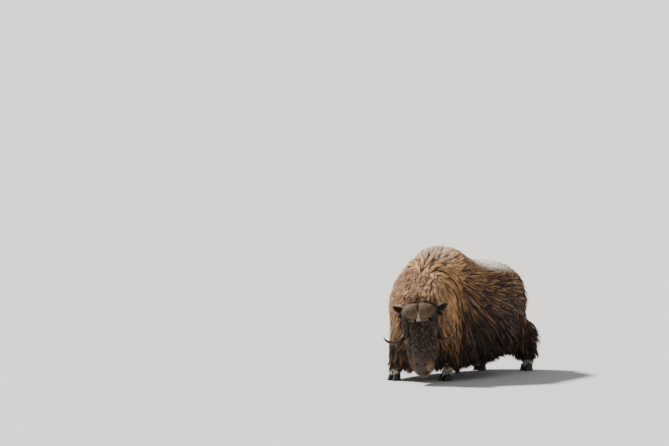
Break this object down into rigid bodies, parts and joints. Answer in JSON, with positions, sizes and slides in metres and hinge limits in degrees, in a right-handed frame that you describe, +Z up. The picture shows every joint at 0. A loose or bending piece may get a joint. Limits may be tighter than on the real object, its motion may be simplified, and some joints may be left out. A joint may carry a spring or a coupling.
{
  "type": "muskox",
  "caption": "Life-size muskox bull walking with its head low and turned to its left, in a long hanging coat, with a broad horn boss and down-curved horns.",
  "frame": {"origin": "on the floor, below the middle of the whole animal's box", "axes": "+Z up, the animal faces -Y, and its left side is +X"},
  "size_m": [0.9818, 1.9668, 1.2503],
  "materials": {
    "coat_torso": "long dark brown guard hair with a pale saddle",
    "coat_neck": "golden brown shaggy mane",
    "coat_head": "short black-brown hair, grizzled grey",
    "coat_leg": "dark brown hair over pale stockings",
    "horn": "ridged grey-brown horn, dark at the tips",
    "hoof": "worn black horn",
    "eye": "wet dark brown"
  },
  "bodies": {
    "root": {"torso": "coat_torso", "neck": "coat_neck", "head": "coat_head", "ear_left": "coat_head", "ear_right": "coat_head", "eye_left": "eye", "eye_right": "eye", "horn_left": "horn", "horn_right": "horn", "leg_front_left": "coat_leg", "leg_front_right": "coat_leg", "leg_hind_left": "coat_leg", "leg_hind_right": "coat_leg", "hoof_front_left_inner": "hoof", "hoof_front_left_outer": "hoof", "hoof_front_right_inner": "hoof", "hoof_front_right_outer": "hoof", "hoof_hind_left_inner": "hoof", "hoof_hind_left_outer": "hoof", "hoof_hind_right_inner": "hoof", "hoof_hind_right_outer": "hoof", "tail": "coat_torso"}
  },
  "joints": []
}
